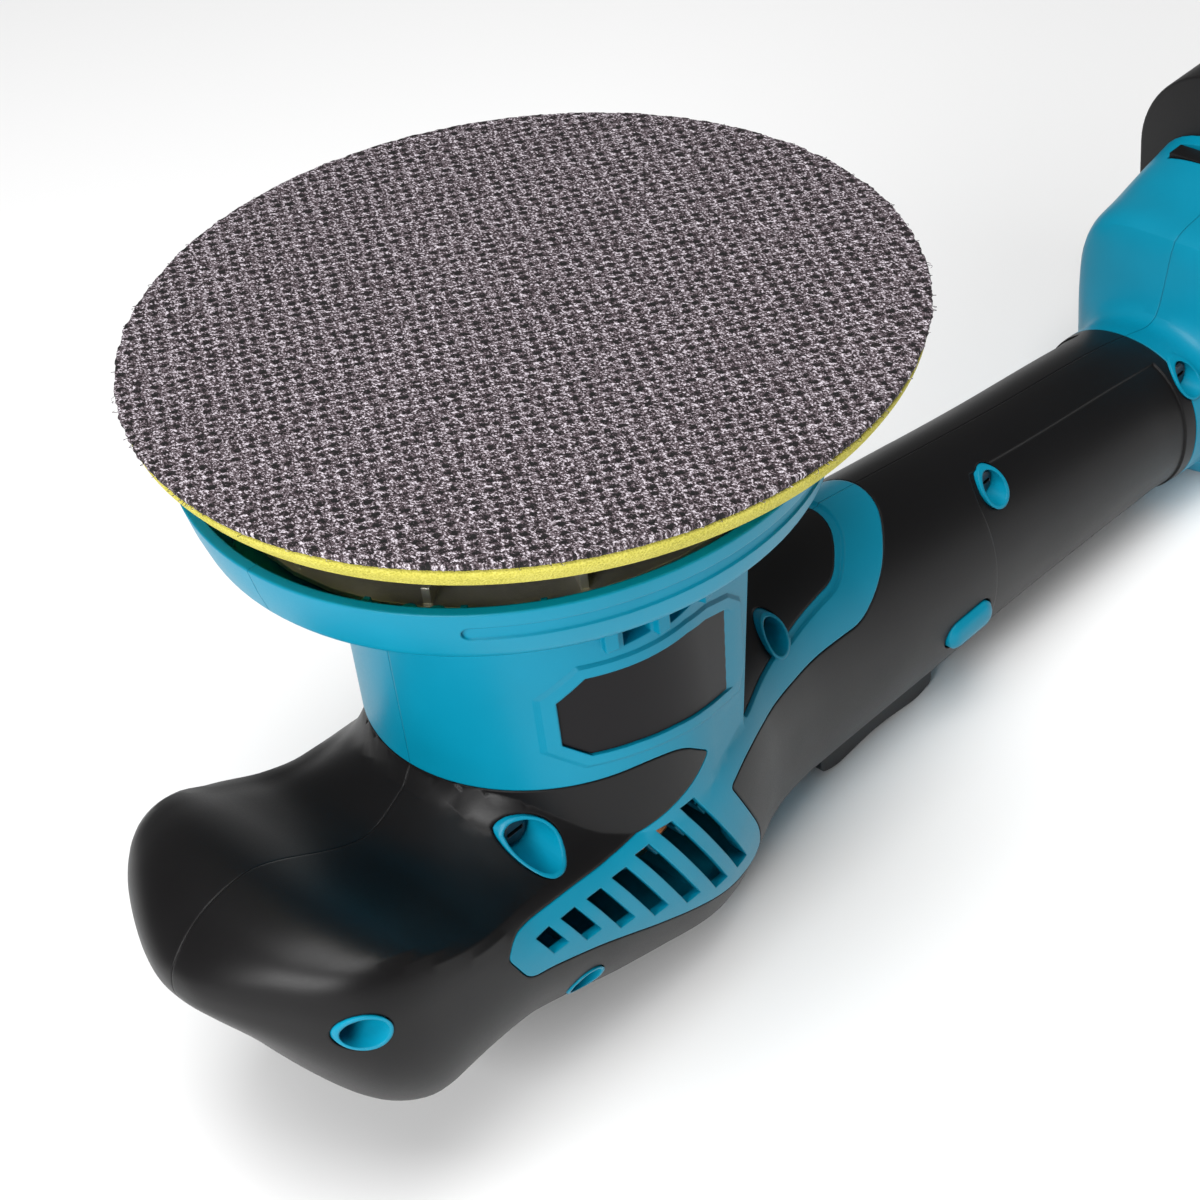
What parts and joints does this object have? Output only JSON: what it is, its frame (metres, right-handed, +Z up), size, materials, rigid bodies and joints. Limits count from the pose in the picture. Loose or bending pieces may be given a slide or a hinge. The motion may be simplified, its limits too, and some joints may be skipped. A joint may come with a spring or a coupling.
{
  "type": "orbital sander",
  "caption": "Cordless random-orbit sander with a round foam-backed disc, ring shroud, palm nose, straight grip handle and slide-on battery pack.",
  "frame": {"origin": "middle of the tool's footprint, on the surface it lies on when it rests on its back", "axes": "+X from the palm nose towards the battery, +Y towards the tool's left side, +Z up, out of the sanding face"},
  "size_m": [0.4054, 0.15, 0.163],
  "materials": {
    "teal_shell": "satin moulded",
    "soft_grip": "soft satin overmould",
    "dark_plate": "fine matt",
    "abrasive_sheet": "coarse looped abrasive mesh",
    "pad_foam": "soft foam",
    "pad_plate": "matt",
    "bright_steel": "ground",
    "dark_steel": "blackened",
    "cast_alloy": "as cast",
    "balance_iron": "as cast",
    "core_steel": "laminated sheet",
    "copper_wire": "enamelled wire",
    "black_plastic": "matt moulded",
    "circuit_board": "lacquered board",
    "contact_brass": "plated",
    "battery_plastic": "matt moulded",
    "cell_sleeve": "shrink sleeve"
  },
  "bodies": {
    "housing": {"right_housing": "teal_shell", "right_nose_grip": "soft_grip", "right_handle_grip": "soft_grip", "right_arch_panel": "soft_grip", "right_badge": "dark_plate", "left_housing": "teal_shell", "left_nose_grip": "soft_grip", "left_handle_grip": "soft_grip", "left_arch_panel": "soft_grip", "left_badge": "dark_plate", "screw_neck": "dark_steel", "screw_nose": "dark_steel", "screw_tail": "dark_steel", "screw_root": "dark_steel", "screw_handle": "dark_steel", "screw_base": "dark_steel", "stator_core": "core_steel", "winding_front": "copper_wire", "winding_tail": "copper_wire", "bearing_plate": "cast_alloy", "front_bearing": "bright_steel", "tail_bearing": "bright_steel", "switch_body": "black_plastic", "trigger_spring": "bright_steel", "controller_board": "circuit_board", "terminal_block": "black_plastic", "terminal_blade_1": "contact_brass", "terminal_blade_2": "contact_brass"},
    "spindle": {"eccentric_hub": "cast_alloy", "counterweight": "balance_iron", "fan": "cast_alloy", "motor_shaft": "bright_steel", "rotor": "core_steel", "pad_bearing_outer": "bright_steel", "pad_bearing_inner": "bright_steel"},
    "pad": {"sanding_disc": "abrasive_sheet", "foam_pad": "pad_foam", "backing_plate": "pad_plate", "pad_washer": "bright_steel", "pad_bolt": "dark_steel", "pad_spindle": "bright_steel"},
    "trigger": {"trigger": "black_plastic"},
    "lock_button": {"lock_button": "teal_shell"},
    "speed_dial": {"speed_dial": "black_plastic"},
    "battery": {"battery_case": "battery_plastic", "battery_cover": "battery_plastic", "cell_1": "cell_sleeve", "cell_2": "cell_sleeve", "cell_3": "cell_sleeve", "cell_4": "cell_sleeve", "cell_5": "cell_sleeve"},
    "battery_button": {"battery_button": "black_plastic"}
  },
  "joints": [
    {"name": "motor_spin", "type": "hinge", "parent": "housing", "child": "spindle", "pos_m": [-0.10325, 0.0033, 0.123], "axis": [0, 0, 1], "continuous": true},
    {"name": "pad_spin", "type": "hinge", "parent": "spindle", "child": "pad", "pos_m": [-0.09925, 0, 0.163], "axis": [0, 0, 1], "continuous": true},
    {"name": "trigger_squeeze", "type": "slide", "parent": "housing", "child": "trigger", "axis": [0, 0, 1], "range_m": [0, 0.003], "stiffness_N_per_m": 1500, "springref_m": -0.001, "deforming": ["trigger_spring"]},
    {"name": "lock_press", "type": "slide", "parent": "housing", "child": "lock_button", "axis": [0, 1, 0], "range_m": [0, 0.002], "stiffness_N_per_m": 900, "springref_m": -0.001},
    {"name": "dial_turn", "type": "hinge", "parent": "housing", "child": "speed_dial", "pos_m": [0.07475, 0.0033, 0.016], "axis": [0, 1, 0], "range_deg": [-135, 135]},
    {"name": "battery_slide", "type": "slide", "parent": "housing", "child": "battery", "axis": [0, 0, 1], "range_m": [0, 0.08]},
    {"name": "battery_release", "type": "slide", "parent": "battery", "child": "battery_button", "axis": [0, 0, -1], "range_m": [0, 0.0025], "stiffness_N_per_m": 800, "springref_m": -0.001}
  ]
}
